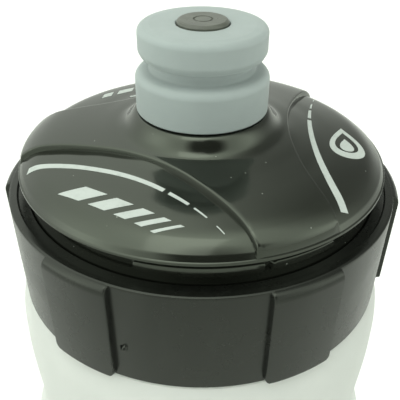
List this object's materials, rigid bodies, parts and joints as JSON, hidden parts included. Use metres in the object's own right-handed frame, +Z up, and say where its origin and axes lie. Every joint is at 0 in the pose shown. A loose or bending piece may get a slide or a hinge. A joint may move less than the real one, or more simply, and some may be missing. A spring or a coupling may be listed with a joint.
{
  "type": "water bottle",
  "caption": "Squeeze bottle for a bicycle bottle cage, with a screw collar over a captive domed lid and a push-pull nozzle that closes on a fixed plug.",
  "frame": {"origin": "centre of the base ring, on the table plane", "axes": "+Z up along the bottle's axis, -Y towards the front, +X to the right seen from the front"},
  "size_m": [0.0734, 0.0734, 0.1962],
  "materials": {
    "body_milky": "milky translucent squeezable polyethylene, satin",
    "collar_black": "satin black, finely textured",
    "lid_gloss": "glossy near-black",
    "gasket_silicone": "matte silicone",
    "plug_grey": "semi-gloss warm dark grey",
    "oring_black": "matte",
    "nozzle_hard": "satin",
    "nozzle_soft": "soft matte light grey"
  },
  "bodies": {
    "bottle": {"bottle_body": "body_milky"},
    "lid": {"lid_dome": "lid_gloss", "lid_gasket": "gasket_silicone", "valve_plug": "plug_grey", "spigot_oring": "oring_black"},
    "collar": {"screw_collar": "collar_black"},
    "nozzle": {"nozzle_core": "nozzle_hard", "nozzle_grip": "nozzle_soft"}
  },
  "joints": [
    {"name": "lid_lift", "type": "slide", "parent": "bottle", "child": "lid", "axis": [0, 0, 1], "range_m": [0, 0.0075]},
    {"name": "collar_turn", "type": "hinge", "parent": "lid", "child": "collar", "pos_m": [0, 0, 0.1586], "axis": [0, 0, 1], "range_deg": [0, 540]},
    {"name": "nozzle_pull", "type": "slide", "parent": "lid", "child": "nozzle", "axis": [0, 0, 1], "range_m": [0, 0.007]}
  ],
  "couplings": [
    {"joint": "lid_lift", "follows": "collar_turn", "m_per_rad": 0.00079577}
  ]
}
